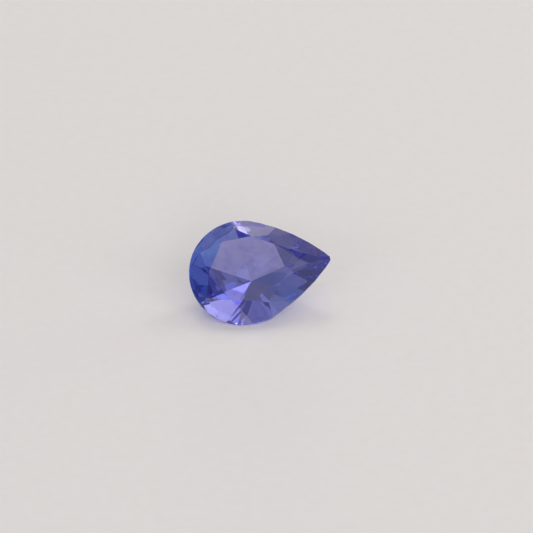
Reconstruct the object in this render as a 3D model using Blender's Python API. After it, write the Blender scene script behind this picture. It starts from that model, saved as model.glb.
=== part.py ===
"""Pear-cut tanzanite: one faceted gemstone that lies on a main facet of its pavilion.

The stone is cut the way a lapidary cuts it. An upright blank with the pear
outline is the rough shape, and every facet is one plane that takes a slice off
it. The outline has a round head, and each wing is an arc that leaves the head
smoothly and ends at the tip.

Cutting frame, in half widths of the stone: +U runs to the tip, +V across, +W
out of the table, the head's centre is the origin and the girdle's middle is
W = 0. An azimuth is the direction of the outline's outward normal seen from the
table: 0 at the tip, 90 at +V, 180 at the back of the head. The finished stone is
turned onto its resting facet and stands at Z = 0, in metres, with its long axis
along X.
"""

import math

import bmesh
import bpy
from mathutils import Matrix, Vector

# Size and outline.
HALF_WIDTH = 0.0027  # metres, half of the width across the head
TIP_REACH = 1.679  # from the centre of the head to the tip
TIP_NORMALS = (40.9, 318.6)  # azimuths of the two wings where they reach the tip
TIP_BLUNT = 0.03  # length taken off the point
GIRDLE_STEP = 6.0  # degrees between the upright faces of the girdle

# Crown.
GIRDLE = 0.03  # thickness of the upright band
CROWN_HEIGHT = 0.203  # girdle to table
TABLE_RATIO = 0.639  # table against the outline
TABLE_CENTRE = (0.006, 0.078)
STAR_DEPTH = 0.263  # how far the stars reach down the crown
CROWN_MAINS = (54.9, 67.7, 117.7, 178.7, 241.2, 276.3, 305.7)  # azimuths, without the tip's own main

# Pavilion.
PAVILION_DEPTH = 0.862  # girdle to culet
CULET = (0.148, -0.082)
LOWER_HALF_DEPTH = 0.164  # how far the lower halves reach down the pavilion
KEEL_NODE = 0.805  # U where the tip facets meet the keel
PAVILION_MAINS = (72.0, 111.5, 129.2, 186.1, 225.1, 259.4, 309.4)  # azimuths
TIP_FACET_STEPS = (0.05, 0.60)  # from the tip towards the nearest main
REST_MAIN = 5  # the pavilion main that the stone lies on, counted from 0

HALF_STEPS = (0.25, 0.75)  # where the two halves between neighbouring mains touch the outline
WELD_DISTANCE = 5e-9  # metres
INSIDE = Vector((0.1, 0.0, 0.0))

NODE_NAME = "pear_tanzanite"
STONE_COLOUR = (0.085, 0.065, 0.36, 1.0)
STONE_ROUGHNESS = 0.02
STONE_IOR = 1.695


class Wing:
    """One side of the outline: the head's circle, then an arc tangent to it that ends at the tip."""

    def __init__(self, tip_normal):
        """Take the azimuth of the wing's normal at the tip, below 90 on the +V side and above 270 on the other."""
        self.side = 1 if tip_normal < 180 else -1
        self.limit = math.radians(tip_normal if self.side > 0 else 360 - tip_normal)
        lean = math.cos(self.limit) * TIP_REACH
        offset = (1 - 2 * lean + TIP_REACH ** 2) / (2 * lean - 2)
        self.radius = offset + 1
        self.join = math.atan2(math.sin(self.limit) * self.radius, math.cos(self.limit) * self.radius - TIP_REACH)
        self.centre = -offset * Vector((math.cos(self.join), math.sin(self.join)))

    def at(self, angle):
        """Return the outline's point and outward normal where the normal is this many radians from +U."""
        angle = max(angle, self.limit)
        normal = Vector((math.cos(angle), math.sin(angle)))
        point = normal if angle >= self.join else self.centre + self.radius * normal
        return Vector((point.x, self.side * point.y)), Vector((normal.x, self.side * normal.y))


WINGS = [Wing(tip_normal) for tip_normal in TIP_NORMALS]


def outline(azimuth):
    """Return the outline's point and outward normal at an azimuth in degrees."""
    if azimuth <= 180:
        return WINGS[0].at(math.radians(azimuth))
    return WINGS[1].at(math.radians(360 - azimuth))


def plane_through(first, second, third):
    """Return (point, outward normal) of the plane through three points."""
    normal = (second - first).cross(third - first).normalized()
    if normal.dot(INSIDE - first) > 0:
        normal.negate()
    return first, normal


def outline_facet(azimuth, level, inner):
    """Return the plane that touches the outline at an azimuth and a height, and passes through an inner point."""
    point, normal = outline(azimuth)
    start = point.to_3d() + Vector((0, 0, level))
    return plane_through(start, start + Vector((-normal.y, normal.x, 0)), inner)


def meet(first, second, axis, value):
    """Return the point on the edge between two planes where one coordinate has a given value."""
    others = [index for index in range(3) if index != axis]
    rows = [[normal[index] for index in others] for _, normal in (first, second)]
    right = [normal.dot(point) - normal[axis] * value for point, normal in (first, second)]
    solved = Matrix(rows).inverted() @ Vector(right)
    place = Vector((0, 0, 0))
    place[axis] = value
    place[others[0]], place[others[1]] = solved
    return place


def half_facets(start, end, level, inner):
    """Return the two half facets between neighbouring mains at two azimuths, which share an inner point."""
    return [outline_facet(start + (end - start) * step, level, inner) for step in HALF_STEPS]


def table_corner(point):
    """Return the table's corner that belongs to a point of the outline."""
    centre = Vector(TABLE_CENTRE)
    corner = centre + TABLE_RATIO * (point - centre)
    return Vector((corner.x, corner.y, GIRDLE / 2 + CROWN_HEIGHT))


def crown_facets():
    """Return the planes above the girdle: the table, then mains, stars and upper halves round from the tip."""
    level = GIRDLE / 2
    table_height = level + CROWN_HEIGHT
    tip = Vector((TIP_REACH, 0.0))
    tip_edge = tip.to_3d() + Vector((0, 0, level))
    corners = [table_corner(tip)] + [table_corner(outline(azimuth)[0]) for azimuth in CROWN_MAINS]
    mains = [plane_through(tip_edge, tip_edge + Vector((0, 1, 0)), corners[0])]
    for azimuth, corner in zip(CROWN_MAINS, corners[1:]):
        mains.append(outline_facet(azimuth, level, corner))

    planes = [(Vector((0, 0, table_height)), Vector((0, 0, 1)))] + mains
    ring = [TIP_NORMALS[0], *CROWN_MAINS, TIP_NORMALS[1]]
    for index, main in enumerate(mains):
        following = (index + 1) % len(mains)
        star_point = meet(main, mains[following], 2, table_height - CROWN_HEIGHT * STAR_DEPTH)
        planes.append(plane_through(corners[index], corners[following], star_point))
        planes += half_facets(ring[index], ring[index + 1], level, star_point)
    return planes


def pavilion_mains():
    """Return the planes from the girdle to the culet."""
    culet = Vector((*CULET, -GIRDLE / 2 - PAVILION_DEPTH))
    return [outline_facet(azimuth, -GIRDLE / 2, culet) for azimuth in PAVILION_MAINS]


def pavilion_facets():
    """Return the planes below the girdle: mains, lower halves, and the facets that close the keel at the tip."""
    level = -GIRDLE / 2
    mains = pavilion_mains()
    planes = list(mains)
    for index in range(len(mains) - 1):
        inner = meet(mains[index], mains[index + 1], 2, level - PAVILION_DEPTH * LOWER_HALF_DEPTH)
        planes += half_facets(PAVILION_MAINS[index], PAVILION_MAINS[index + 1], level, inner)
    keel_point = meet(mains[0], mains[-1], 0, KEEL_NODE)
    for tip_normal, nearest in zip(TIP_NORMALS, (PAVILION_MAINS[0], PAVILION_MAINS[-1])):
        for step in TIP_FACET_STEPS:
            planes.append(outline_facet(tip_normal + (nearest - tip_normal) * step, level, keel_point))
    return planes


def girdle_outline():
    """Return the outline's points round the stone, where the girdle's upright faces meet."""
    points = []
    start, end = TIP_NORMALS
    count = math.ceil((end - start) / GIRDLE_STEP)
    step = (end - start) / count
    faces = [outline(start + step * index) for index in range(count + 1)]
    faces.insert(0, (Vector((TIP_REACH - TIP_BLUNT, 0.0)), Vector((1, 0))))
    for (point_a, normal_a), (point_b, normal_b) in zip(faces, faces[1:] + faces[:1]):
        right = Vector((normal_a.dot(point_a), normal_b.dot(point_b)))
        points.append(Matrix((normal_a, normal_b)).inverted() @ right)
    return points


def cut_away(stone, point, normal):
    """Slice off what lies outside a plane and close the cut with one flat facet."""
    geometry = stone.verts[:] + stone.edges[:] + stone.faces[:]
    bmesh.ops.bisect_plane(
        stone,
        geom=geometry,
        dist=WELD_DISTANCE,
        plane_co=point * HALF_WIDTH,
        plane_no=normal,
        clear_outer=True,
    )
    open_edges = [edge for edge in stone.edges if edge.is_boundary]
    if open_edges:
        bmesh.ops.contextual_create(stone, geom=open_edges)


def cut_stone():
    """Return the mesh of the finished stone in the cutting frame."""
    stone = bmesh.new()
    bottom = -(GIRDLE + PAVILION_DEPTH) * HALF_WIDTH
    height = (2 * GIRDLE + PAVILION_DEPTH + CROWN_HEIGHT) * HALF_WIDTH
    corners = [stone.verts.new((point.x * HALF_WIDTH, point.y * HALF_WIDTH, bottom)) for point in girdle_outline()]
    base = stone.faces.new(corners)
    raised = bmesh.ops.extrude_face_region(stone, geom=[base])
    top = [item for item in raised["geom"] if isinstance(item, bmesh.types.BMVert)]
    bmesh.ops.translate(stone, verts=top, vec=(0, 0, height))
    bmesh.ops.recalc_face_normals(stone, faces=stone.faces)
    for point, normal in crown_facets() + pavilion_facets():
        cut_away(stone, point, normal)
    bmesh.ops.recalc_face_normals(stone, faces=stone.faces)
    return stone


def resting_turn():
    """Return the rotation that puts the resting facet down and the long axis along X, tip towards +X."""
    down = pavilion_mains()[REST_MAIN][1]
    along = Vector((1, 0, 0))
    along = (along - down * along.dot(down)).normalized()
    across = along.cross(down)
    return Matrix((along, across, -down))


def build_material():
    """Return the stone's material."""
    material = bpy.data.materials.new("tanzanite")
    material.use_nodes = True
    shader = material.node_tree.nodes["Principled BSDF"]
    shader.inputs["Base Color"].default_value = STONE_COLOUR
    shader.inputs["Roughness"].default_value = STONE_ROUGHNESS
    shader.inputs["Metallic"].default_value = 0.0
    shader.inputs["IOR"].default_value = STONE_IOR
    shader.inputs["Transmission Weight"].default_value = 1.0
    return material


def build_stone():
    """Cut the stone, lay it on its resting facet, and centre its box over the origin."""
    stone = cut_stone()
    bmesh.ops.rotate(stone, verts=stone.verts, cent=(0, 0, 0), matrix=resting_turn())
    lowest = Vector([min(vert.co[axis] for vert in stone.verts) for axis in range(3)])
    highest = Vector([max(vert.co[axis] for vert in stone.verts) for axis in range(3)])
    middle = (lowest + highest) / 2
    bmesh.ops.translate(stone, verts=stone.verts, vec=(-middle.x, -middle.y, -lowest.z))
    mesh = bpy.data.meshes.new(NODE_NAME)
    stone.to_mesh(mesh)
    stone.free()
    mesh.materials.append(build_material())
    node = bpy.data.objects.new(NODE_NAME, mesh)
    bpy.context.scene.collection.objects.link(node)
    return node


def main():
    """Clear the scene and build the part."""
    for item in list(bpy.data.objects):
        bpy.data.objects.remove(item, do_unlink=True)
    build_stone()


if __name__ == "__main__":
    main()
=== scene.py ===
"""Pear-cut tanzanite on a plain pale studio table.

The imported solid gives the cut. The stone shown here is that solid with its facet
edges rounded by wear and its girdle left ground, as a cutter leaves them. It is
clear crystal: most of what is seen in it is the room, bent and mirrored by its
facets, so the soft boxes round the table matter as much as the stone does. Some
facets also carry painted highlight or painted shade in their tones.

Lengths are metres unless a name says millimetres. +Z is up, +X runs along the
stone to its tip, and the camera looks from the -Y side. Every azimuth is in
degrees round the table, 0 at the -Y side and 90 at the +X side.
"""

from __future__ import annotations

import logging
import math
from dataclasses import dataclass, field
from enum import IntEnum

import bpy
from mathutils import Matrix, Vector

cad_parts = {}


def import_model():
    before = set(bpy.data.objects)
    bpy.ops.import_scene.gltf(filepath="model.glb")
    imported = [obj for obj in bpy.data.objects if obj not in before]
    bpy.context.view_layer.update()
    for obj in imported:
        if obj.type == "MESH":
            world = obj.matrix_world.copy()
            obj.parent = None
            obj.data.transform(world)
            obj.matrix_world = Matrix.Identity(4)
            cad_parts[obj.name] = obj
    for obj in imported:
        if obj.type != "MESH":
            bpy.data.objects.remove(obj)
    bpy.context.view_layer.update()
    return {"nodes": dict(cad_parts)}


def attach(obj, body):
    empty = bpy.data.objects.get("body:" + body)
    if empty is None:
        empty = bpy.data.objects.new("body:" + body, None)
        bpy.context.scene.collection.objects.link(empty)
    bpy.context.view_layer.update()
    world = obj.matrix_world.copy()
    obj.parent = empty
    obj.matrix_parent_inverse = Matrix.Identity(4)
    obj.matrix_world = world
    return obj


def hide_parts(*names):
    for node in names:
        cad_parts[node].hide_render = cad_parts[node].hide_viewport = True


LOG = logging.getLogger("pear_tanzanite")

MM = 0.001
NODE = "pear_tanzanite"
BODY = "root"

Colour = tuple[float, float, float, float]


class MixInput(IntEnum):
    """Sockets that a mix node takes its values from."""

    FACTOR = 0
    FLOAT_A = 2
    FLOAT_B = 3
    COLOUR_A = 6
    COLOUR_B = 7


class MixOutput(IntEnum):
    """Sockets that a mix node gives its result on."""

    FLOAT = 0
    COLOUR = 2


def linear(code: str) -> Colour:
    """Turn an sRGB hex colour into a linear one.

    Args:
        code: six hex digits, with or without a leading hash sign.

    Returns:
        Red, green, blue and an alpha of 1, in linear light.
    """
    digits = code.lstrip("#")
    channels = [int(digits[start : start + 2], 16) / 255 for start in (0, 2, 4)]
    red, green, blue = [c / 12.92 if c <= 0.04045 else ((c + 0.055) / 1.055) ** 2.4 for c in channels]
    return (red, green, blue, 1.0)


def add_node(
    tree: bpy.types.NodeTree,
    kind: str,
    settings: dict[str, object] | None = None,
    inputs: dict[str | int, object] | None = None,
    links: dict[str | int, bpy.types.NodeSocket] | None = None,
) -> bpy.types.Node:
    """Add a shader node with its settings, its fixed inputs and its links.

    Args:
        tree: the node tree.
        kind: the node's type name.
        settings: attributes of the node.
        inputs: values for its sockets, by name or number.
        links: sockets that feed its sockets, by name or number.

    Returns:
        The new node.
    """
    node = tree.nodes.new(kind)
    for name, value in (settings or {}).items():
        setattr(node, name, value)
    for name, value in (inputs or {}).items():
        node.inputs[name].default_value = value
    for name, socket in (links or {}).items():
        tree.links.new(socket, node.inputs[name])
    return node


def add_noise(
    tree: bpy.types.NodeTree,
    place: bpy.types.NodeSocket,
    size_mm: float,
    **shape: float,
) -> bpy.types.NodeSocket:
    """Add a noise pattern of a real size.

    Args:
        tree: the node tree.
        place: the coordinates that the pattern lies in.
        size_mm: the size of its patches.
        shape: the noise's own inputs by name, such as Detail.

    Returns:
        The pattern's value, about 0.5 in the middle.
    """
    inputs = {"Scale": 1 / (size_mm * MM), **shape}
    noise = add_node(tree, "ShaderNodeTexNoise", {"noise_dimensions": "3D"}, inputs, {"Vector": place})
    return noise.outputs["Fac"]


def empty_material(name: str) -> tuple[bpy.types.Material, bpy.types.NodeTree, bpy.types.NodeSocket]:
    """Start a node material.

    Args:
        name: the material's name.

    Returns:
        The material, its empty node tree and the object coordinates in it.
    """
    material = bpy.data.materials.new(name)
    material.use_nodes = True
    tree = material.node_tree
    tree.nodes.clear()
    return material, tree, add_node(tree, "ShaderNodeTexCoord").outputs["Object"]


def deselect_all() -> None:
    """Leave nothing selected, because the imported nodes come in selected."""
    bpy.ops.object.select_all(action="DESELECT")


def bearing(azimuth: float, elevation: float) -> Vector:
    """Point from the table's middle towards a place in the room.

    Args:
        azimuth: degrees round the table.
        elevation: degrees above the table.

    Returns:
        A unit vector.
    """
    turn, rise = math.radians(azimuth), math.radians(elevation)
    return Vector((math.sin(turn) * math.cos(rise), -math.cos(turn) * math.cos(rise), math.sin(rise)))


@dataclass(frozen=True)
class CrystalSide:
    """A direction in the stone with a tone for the facets that face it. Some sides are pleochroic colours,
    two are near-white tones that are painted highlights, and the tip's blue-grey tone is partly painted
    shade.

    Attributes:
        azimuth: degrees round the stone as it lies.
        elevation: degrees above the surface that it lies on.
        core: degrees from that direction within which a facet has this colour only.
        reach: degrees from that direction where the colour has faded out.
        colour: sRGB hex tone that tints light crossing a facet there; near white where it is a painted
            highlight.
    """

    azimuth: float
    elevation: float
    core: float
    reach: float
    colour: str

    def share(self, normal: Vector) -> float:
        """Say how far a facet belongs to this side.

        Args:
            normal: the facet's outward normal.

        Returns:
            A share from 0 to 1.
        """
        angle = math.degrees(bearing(self.azimuth, self.elevation).angle(normal))
        part = min(max((self.reach - angle) / (self.reach - self.core), 0.0), 1.0)
        return part * part * (3 - 2 * part)


# Blue head: a pleochroic colour.
HEAD_SIDE = CrystalSide(-63.0, 48.0, 26.0, 36.0, "#70B8FC")
# Painted highlight: a near-white tone that lightens the facets of the near rim.
NEAR_RIM_PAINTED_HIGHLIGHT = CrystalSide(-25.0, 17.0, 12.0, 22.0, "#FFFBFF")
# Table: a pleochroic colour close to the body's.
TABLE_SIDE = CrystalSide(-7.9, 47.7, 5.0, 10.0, "#B4B1D6")
# Painted highlight: a near-white tone that lightens the upward facets of the far crown.
FAR_CROWN_PAINTED_HIGHLIGHT = CrystalSide(0.0, 88.0, 12.0, 20.0, "#FFF8FC")
# Tip: a blue-grey tone whose blue is pleochroic and whose darkness is painted shade.
TIP_BLUE_AND_PAINTED_SHADE = CrystalSide(56.0, 27.0, 38.0, 52.0, "#768EC3")


@dataclass(frozen=True)
class TanzaniteCrystal:
    """Tanzanite, cut and polished with fine diamond or tin oxide: clear blue-violet zoisite.

    Its refractive index is 1.69 to 1.70. It takes up green and red, so the stone is deep blue-violet
    where the path of light is long and greyish lilac where it is short. It is pleochroic: light that
    crosses it one way is blue and another way violet. The eye sees that as facets of slightly different
    tones, so every facet has a tone by its own direction in the stone. Some of these tones are painted
    light: the near-white tones are painted highlights, and the tip's blue-grey tone is partly painted
    shade.

    Attributes:
        name: the material's name.
        index: refractive index.
        absorbed: linear colour that the crystal lets through.
        density: how much of the rest it takes up, for each metre.
        body: sRGB hex tone of a facet that belongs to no side.
        sides: directions with tones of their own, pleochroic colours together with painted highlights and
            painted shade, later ones laid over earlier ones.
        veil: sRGB hex tone of its faint inner clouds.
        veil_mm: size of a cloud.
        veil_limits: pattern values between which a cloud thickens.
        polish_mm: size of the patches of uneven polish.
        polish_limits: pattern values between which the polish dulls.
        roughness: roughness of a bright polish.
        worn_roughness: roughness of a dull patch.
        ground_roughness: roughness of the ground girdle.
        ground_grain_mm: size of the grinding marks on it.
        ground_depth_mm: depth of the grinding marks.
    """

    name: str = "polished_tanzanite"
    index: float = 1.695
    absorbed: Colour = (0.0, 0.06, 0.72, 1.0)
    density: float = 170.0
    body: str = "#B4B1E6"
    sides: tuple[CrystalSide, ...] = (HEAD_SIDE, NEAR_RIM_PAINTED_HIGHLIGHT, TABLE_SIDE, FAR_CROWN_PAINTED_HIGHLIGHT, TIP_BLUE_AND_PAINTED_SHADE)
    veil: str = "#DCD4F2"
    veil_mm: float = 0.45
    veil_limits: tuple[float, float] = (0.45, 0.7)
    polish_mm: float = 0.11
    polish_limits: tuple[float, float] = (0.6, 0.8)
    roughness: float = 0.006
    worn_roughness: float = 0.045
    ground_roughness: float = 0.32
    ground_grain_mm: float = 0.03
    ground_depth_mm: float = 0.002

    def tone(self, normal: Vector) -> Colour:
        """Work out the tone of one facet: its pleochroic colour, lightened as painted highlight or
        darkened as painted shade on some sides.

        Args:
            normal: the facet's outward normal.

        Returns:
            A linear colour.
        """
        tone = Vector(linear(self.body))
        for side in self.sides:
            tone = tone.lerp(Vector(linear(side.colour)), side.share(normal))
        return tuple(tone)

    def material(self) -> bpy.types.Material:
        """Build the node material.

        Returns:
            The material, with its pattern in the stone's own coordinates.
        """
        material, tree, place = empty_material(self.name)
        ground = add_node(tree, "ShaderNodeAttribute", {"attribute_name": CutStone.GROUND}).outputs["Fac"]
        surface = add_node(
            tree,
            "ShaderNodeBsdfPrincipled",
            inputs={"Metallic": 0.0, "IOR": self.index, "Transmission Weight": 1.0},
            links={
                "Base Color": self._colour(tree, place),
                "Roughness": self._roughness(tree, place, ground),
                "Normal": self._grinding_marks(tree, place, ground),
            },
        )
        inside = add_node(
            tree,
            "ShaderNodeVolumeAbsorption",
            inputs={"Color": self.absorbed, "Density": self.density},
        )
        add_node(
            tree,
            "ShaderNodeOutputMaterial",
            links={"Surface": surface.outputs["BSDF"], "Volume": inside.outputs["Volume"]},
        )
        return material

    def _colour(self, tree: bpy.types.NodeTree, place: bpy.types.NodeSocket) -> bpy.types.NodeSocket:
        """Lay faint clouds over each facet's tone, as fine inclusions do.

        Args:
            tree: the node tree.
            place: the stone's own coordinates.

        Returns:
            The colour.
        """
        # The facet tone: pleochroic colour, with painted highlight and painted shade on some sides.
        tone = add_node(tree, "ShaderNodeAttribute", {"attribute_name": CutStone.TONE_AND_PAINTED_LIGHT})
        clouds = add_noise(tree, place, self.veil_mm, Detail=3.0, Roughness=0.55, Distortion=0.6)
        thickness = add_node(
            tree,
            "ShaderNodeMapRange",
            {"interpolation_type": "SMOOTHSTEP"},
            {"From Min": self.veil_limits[0], "From Max": self.veil_limits[1]},
            {"Value": clouds},
        )
        veil = add_node(
            tree,
            "ShaderNodeMix",
            {"data_type": "RGBA"},
            {MixInput.COLOUR_A: linear("#FFFFFF"), MixInput.COLOUR_B: linear(self.veil)},
            {MixInput.FACTOR: thickness.outputs["Result"]},
        )
        colour = add_node(
            tree,
            "ShaderNodeMix",
            {"data_type": "RGBA", "blend_type": "MULTIPLY"},
            {MixInput.FACTOR: 1.0},
            {MixInput.COLOUR_A: tone.outputs["Color"], MixInput.COLOUR_B: veil.outputs[MixOutput.COLOUR]},
        )
        return colour.outputs[MixOutput.COLOUR]

    def _roughness(
        self, tree: bpy.types.NodeTree, place: bpy.types.NodeSocket, ground: bpy.types.NodeSocket
    ) -> bpy.types.NodeSocket:
        """Dull the polish a little in patches, and the ground girdle all over.

        Args:
            tree: the node tree.
            place: the stone's own coordinates.
            ground: 1 on the girdle and 0 elsewhere.

        Returns:
            The roughness.
        """
        polish = add_node(
            tree,
            "ShaderNodeMapRange",
            inputs={
                "From Min": self.polish_limits[0],
                "From Max": self.polish_limits[1],
                "To Min": self.roughness,
                "To Max": self.worn_roughness,
            },
            links={"Value": add_noise(tree, place, self.polish_mm, Detail=2.0, Roughness=0.5)},
        )
        rough = add_node(
            tree,
            "ShaderNodeMix",
            {"data_type": "FLOAT"},
            {MixInput.FLOAT_B: self.ground_roughness},
            {MixInput.FACTOR: ground, MixInput.FLOAT_A: polish.outputs["Result"]},
        )
        return rough.outputs[MixOutput.FLOAT]

    def _grinding_marks(
        self, tree: bpy.types.NodeTree, place: bpy.types.NodeSocket, ground: bpy.types.NodeSocket
    ) -> bpy.types.NodeSocket:
        """Roughen the girdle with the marks of its grinding wheel.

        Args:
            tree: the node tree.
            place: the stone's own coordinates.
            ground: 1 on the girdle and 0 elsewhere.

        Returns:
            The surface normal.
        """
        bump = add_node(
            tree,
            "ShaderNodeBump",
            inputs={"Distance": self.ground_depth_mm * MM},
            links={"Strength": ground, "Height": add_noise(tree, place, self.ground_grain_mm, Detail=2.0)},
        )
        return bump.outputs["Normal"]


@dataclass(frozen=True)
class MattePaper:
    """Heavy uncoated paper: pale, slightly warm and without shine, with a faint felt grain.

    Attributes:
        name: the material's name.
        light: sRGB hex colour of its pale fibres.
        shade: sRGB hex colour of the fibres between them.
        grain_mm: size of the felt's grain.
        roughness: roughness of its surface.
        sheen: how much it reflects at a glance.
    """

    name: str = "matte_paper"
    light: str = "#FCF9F0"
    shade: str = "#F8F4EA"
    grain_mm: float = 0.5
    roughness: float = 0.9
    sheen: float = 0.2

    def material(self) -> bpy.types.Material:
        """Build the node material.

        Returns:
            The material.
        """
        material, tree, place = empty_material(self.name)
        colour = add_node(
            tree,
            "ShaderNodeMix",
            {"data_type": "RGBA"},
            {MixInput.COLOUR_A: linear(self.light), MixInput.COLOUR_B: linear(self.shade)},
            {MixInput.FACTOR: add_noise(tree, place, self.grain_mm, Detail=3.0)},
        )
        surface = add_node(
            tree,
            "ShaderNodeBsdfPrincipled",
            inputs={"Roughness": self.roughness, "Specular IOR Level": self.sheen},
            links={"Base Color": colour.outputs[MixOutput.COLOUR]},
        )
        add_node(tree, "ShaderNodeOutputMaterial", links={"Surface": surface.outputs["BSDF"]})
        return material


@dataclass
class CutStone:
    """The gemstone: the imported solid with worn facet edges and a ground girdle.

    Attributes:
        weld_mm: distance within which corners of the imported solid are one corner.
        flat_degrees: angle within which neighbouring triangles are one facet.
        short_edge_mm: length under which an edge closes up, since no cutter meets corners better.
        wear_mm: width of the rounding at a facet edge.
        wear_steps: faces across that rounding.
        edge_degrees: angle from which two facets have an edge between them.
        table_normal: outward normal of the table, which the girdle stands along.
        upright_degrees: how far a girdle face may lean.
        crystal: what the stone is made of.
        piece: the finished piece.
    """

    weld_mm: float = 0.0001
    flat_degrees: float = 0.3
    short_edge_mm: float = 0.012
    wear_mm: float = 0.01
    wear_steps: int = 2
    edge_degrees: float = 1.5
    table_normal: tuple[float, float, float] = (-0.0922843, -0.6669307, 0.7393828)
    upright_degrees: float = 4.0
    crystal: TanzaniteCrystal = field(default_factory=TanzaniteCrystal)
    piece: bpy.types.Object | None = None

    GROUND = "ground"
    # Facet tone attribute; it holds painted highlight and painted shade as well as pleochroic colour.
    TONE_AND_PAINTED_LIGHT = "tone"

    def build(self, source: bpy.types.Object) -> bpy.types.Object:
        """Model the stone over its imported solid.

        Args:
            source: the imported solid's object.

        Returns:
            The finished piece.
        """
        self._copy_facets(source)
        self._wear_edges()
        self._mark_girdle()
        self._tone_facets()
        self._dress()
        return self.piece

    def _copy_facets(self, source: bpy.types.Object) -> None:
        """Copy the solid and join its loose triangles into whole flat facets.

        Args:
            source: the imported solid's object.
        """
        mesh = source.data.copy()
        mesh.name = "cut_stone"
        mesh.materials.clear()
        self.piece = bpy.data.objects.new("cut_stone", mesh)
        bpy.context.scene.collection.objects.link(self.piece)
        deselect_all()
        self.piece.select_set(True)
        bpy.context.view_layer.objects.active = self.piece
        bpy.ops.object.mode_set(mode="EDIT")
        bpy.ops.mesh.select_mode(type="VERT")
        bpy.ops.mesh.select_all(action="SELECT")
        bpy.ops.mesh.remove_doubles(threshold=self.weld_mm * MM)
        bpy.ops.mesh.customdata_custom_splitnormals_clear()
        bpy.ops.mesh.dissolve_limited(angle_limit=math.radians(self.flat_degrees))
        bpy.ops.mesh.select_all(action="SELECT")
        bpy.ops.mesh.remove_doubles(threshold=self.short_edge_mm * MM)
        bpy.ops.mesh.normals_make_consistent(inside=False)
        bpy.ops.object.mode_set(mode="OBJECT")

    def _wear_edges(self) -> None:
        """Round every facet edge by the little that handling and polishing take off."""
        bevel = self.piece.modifiers.new("wear", "BEVEL")
        bevel.width = self.wear_mm * MM
        bevel.segments = self.wear_steps
        bevel.limit_method = "ANGLE"
        bevel.angle_limit = math.radians(self.edge_degrees)
        bevel.use_clamp_overlap = True
        bpy.ops.object.modifier_apply(modifier=bevel.name)

    def _mark_girdle(self) -> None:
        """Mark the faces of the upright band, which is ground and not polished."""
        axis = Vector(self.table_normal)
        limit = math.sin(math.radians(self.upright_degrees))
        mesh = self.piece.data
        marks = mesh.attributes.new(self.GROUND, "FLOAT", "FACE")
        for face, mark in zip(mesh.polygons, marks.data):
            mark.value = 1.0 if abs(face.normal.dot(axis)) < limit else 0.0

    def _tone_facets(self) -> None:
        """Give every facet the tone for its direction: pleochroic colour, with painted highlight and
        painted shade on some sides.
        """
        mesh = self.piece.data
        tones = mesh.attributes.new(self.TONE_AND_PAINTED_LIGHT, "FLOAT_COLOR", "FACE")
        for face, tone in zip(mesh.polygons, tones.data):
            tone.color = self.crystal.tone(face.normal)

    def _dress(self) -> None:
        """Give the stone its crystal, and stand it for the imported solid."""
        self.piece.data.materials.append(self.crystal.material())
        self.piece.data.shade_flat()
        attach(self.piece, BODY)
        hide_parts(NODE)


@dataclass(frozen=True)
class StudioTable:
    """The plain pale surface that the stone lies on.

    Attributes:
        side: width of the square sheet.
        air_gap_mm: film of air under the resting facet, which touches only the paper's high fibres.
        paper: what the sheet is made of.
    """

    side: float = 3.0
    air_gap_mm: float = 0.02
    paper: MattePaper = field(default_factory=MattePaper)

    def build(self) -> bpy.types.Object:
        """Lay the paper.

        Returns:
            The table's object.
        """
        deselect_all()
        bpy.ops.mesh.primitive_plane_add(size=self.side, location=(0, 0, -self.air_gap_mm * MM))
        sheet = bpy.context.active_object
        sheet.name = "studio_table"
        sheet.data.materials.append(self.paper.material())
        return sheet


@dataclass(frozen=True)
class SoftBox:
    """A square diffused lamp that faces the stone.

    Attributes:
        name: the lamp's name.
        azimuth: degrees round the table.
        elevation: degrees above the table.
        radiance: brightness of its face, where the table's paper is about 0.7.
        spread: width of its face against its distance.
        tint: sRGB hex colour of its light.
        distance: how far it hangs from the stone.
    """

    name: str
    azimuth: float
    elevation: float
    radiance: float
    spread: float
    tint: str
    distance: float = 0.5

    def build(self) -> bpy.types.Object:
        """Hang the lamp.

        Returns:
            The lamp's object.
        """
        back = bearing(self.azimuth, self.elevation)
        width = self.spread * self.distance
        lamp = bpy.data.lights.new(self.name, "AREA")
        lamp.shape = "SQUARE"
        lamp.size = width
        lamp.color = linear(self.tint)[:3]
        # A flat even lamp sends out pi times its radiance from each unit of its face.
        lamp.energy = self.radiance * math.pi * width**2
        holder = bpy.data.objects.new(self.name, lamp)
        holder.location = back * self.distance
        holder.rotation_mode = "QUATERNION"
        holder.rotation_quaternion = back.to_track_quat("Z", "Y")
        bpy.context.scene.collection.objects.link(holder)
        return holder


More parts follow.
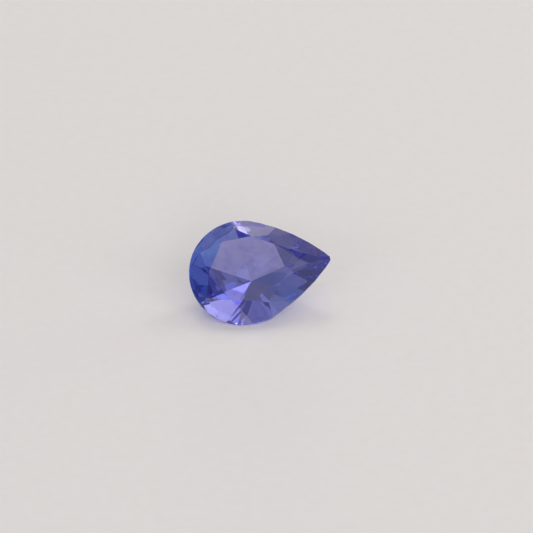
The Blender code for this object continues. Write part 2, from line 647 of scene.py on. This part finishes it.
SOFT_BOXES = (
    SoftBox("back_high", 184.9, 52.0, 3.77, 0.3, "#FFFFF6"),
    SoftBox("back_right", 132.1, 38.0, 3.68, 0.3, "#FFFFEA"),
    SoftBox("front_low", 1.1, 24.0, 3.64, 0.3, "#FFFFE5"),
    SoftBox("front_right", 32.1, 38.0, 0.99, 0.3, "#FFF4F9"),
    SoftBox("front_top", 352.1, 66.0, 0.58, 0.3, "#FFFFE5"),
    SoftBox("right_low", 55.1, 24.0, 1.99, 0.3, "#EEE6FF"),
    SoftBox("back_by_table", 172.1, 10.0, 3.41, 0.3, "#FFFFE5"),
    SoftBox("front_right_low", 19.1, 24.0, 1.38, 0.3, "#FFF8E9"),
    SoftBox("left_low", 307.1, 24.0, 1.91, 0.3, "#E5E5FF"),
    SoftBox("right", 52.1, 38.0, 0.96, 0.3, "#EDE5FF"),
    SoftBox("back", 172.1, 38.0, 1.11, 0.3, "#FFFFE5"),
    SoftBox("back_right_high", 133.5, 52.0, 0.61, 0.3, "#FFF1ED"),
    SoftBox("card_shoulder", 154.1, 52.2, 1.8, 0.16, "#FFF4E5"),
    SoftBox("front_high", 4.9, 52.0, 0.72, 0.3, "#E5E5FF"),
    SoftBox("front_left_low", 325.1, 24.0, 1.46, 0.3, "#FFFFE5"),
    SoftBox("back_left_high", 210.6, 52.0, 0.55, 0.3, "#FFFFE5"),
    SoftBox("front", 12.1, 38.0, 0.7, 0.3, "#F8F0FF"),
    SoftBox("right_by_table", 112.1, 10.0, 2.22, 0.3, "#EEFFF2"),
    SoftBox("front_left", 332.1, 38.0, 0.39, 0.3, "#FFFFE5"),
    SoftBox("front_corner_low", 37.1, 24.0, 0.51, 0.3, "#FFFFE5"),
    SoftBox("right_high", 56.4, 52.0, 0.37, 0.3, "#FFEBF7"),
    SoftBox("front_by_table", 352.1, 10.0, 1.3, 0.3, "#FFF2E5"),
    SoftBox("card_group", 64.0, 46.0, 1.9, 0.13, "#F5F0FF"),
    SoftBox("card_kite", 335.6, 8.5, 0.6, 0.16, "#FFF8FF"),
    SoftBox("card_low", 30.3, 6.1, 0.93, 0.16, "#E9E5FF"),
)


@dataclass(frozen=True)
class Studio:
    """The room's dim even light and the soft boxes in it.

    Attributes:
        room: sRGB hex colour of the room's light.
        room_strength: brightness of the room.
        boxes: the lamps. Those called card are small and light one group of facets each.
    """

    room: str = "#E6E5FF"
    room_strength: float = 0.38
    boxes: tuple[SoftBox, ...] = SOFT_BOXES

    def build(self) -> None:
        """Light the table."""
        world = bpy.data.worlds.new("studio_room")
        world.use_nodes = True
        tree = world.node_tree
        tree.nodes.clear()
        glow = add_node(
            tree,
            "ShaderNodeBackground",
            inputs={"Color": linear(self.room), "Strength": self.room_strength},
        )
        add_node(tree, "ShaderNodeOutputWorld", links={"Surface": glow.outputs["Background"]})
        bpy.context.scene.world = world
        for box in self.boxes:
            box.build()
            LOG.info("lamp %s", box.name)


@dataclass(frozen=True)
class MacroCamera:
    """A long macro lens, a little rolled, as a hand holds it.

    Attributes:
        azimuth: degrees round the table.
        elevation: degrees above the table.
        roll: degrees, how far the camera's right side is raised.
        aim_mm: the point in the middle of the picture.
        frame_mm: width of the picture at that point.
        lens: focal length in millimetres.
        sensor: width of the sensor in millimetres.
        near: nearest visible distance, against the distance to the stone.
        far: farthest visible distance, against the distance to the stone.
    """

    azimuth: float = -7.93
    elevation: float = 32.95
    roll: float = 1.05
    aim_mm: tuple[float, float, float] = (0.332, 0.006, 2.129)
    frame_mm: float = 26.771
    lens: float = 200.0
    sensor: float = 36.0
    near: float = 0.05
    far: float = 100.0

    def build(self) -> bpy.types.Object:
        """Set up the camera.

        Returns:
            The camera's object.
        """
        back = bearing(self.azimuth, self.elevation)
        turn = math.radians(self.azimuth)
        level = Vector((math.cos(turn), math.sin(turn), 0.0))
        right = Matrix.Rotation(math.radians(self.roll), 3, back) @ level
        upward = back.cross(right)
        distance = self.frame_mm * MM * self.lens / self.sensor
        data = bpy.data.cameras.new("macro_camera")
        data.lens = self.lens
        data.sensor_width = self.sensor
        data.clip_start = distance * self.near
        data.clip_end = distance * self.far
        camera = bpy.data.objects.new("macro_camera", data)
        camera.location = Vector(self.aim_mm) * MM + back * distance
        camera.rotation_mode = "QUATERNION"
        camera.rotation_quaternion = Matrix((right, upward, back)).transposed().to_quaternion()
        bpy.context.scene.collection.objects.link(camera)
        bpy.context.scene.camera = camera
        return camera


def set_picture(crossings: int = 48) -> None:
    """Use plain display colours, and let light cross many facets before it is dropped.

    Args:
        crossings: facets that light may cross or bounce off inside the stone. A total reflection
            counts as a glossy bounce.
    """
    scene = bpy.context.scene
    scene.view_settings.view_transform = "Standard"
    scene.view_settings.look = "None"
    scene.cycles.max_bounces = crossings
    scene.cycles.transmission_bounces = crossings
    scene.cycles.glossy_bounces = crossings
    scene.cycles.blur_glossy = 0.0


def main() -> None:
    """Build the table, the stone, the light and the camera."""
    logging.basicConfig(level=logging.INFO, format="%(message)s")
    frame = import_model()
    set_picture()
    StudioTable().build()
    LOG.info("studio table laid")
    stone = CutStone().build(frame["nodes"][NODE])
    LOG.info("stone built: %d faces", len(stone.data.polygons))
    Studio().build()
    MacroCamera().build()
    LOG.info("camera set")


if __name__ == "__main__":
    main()
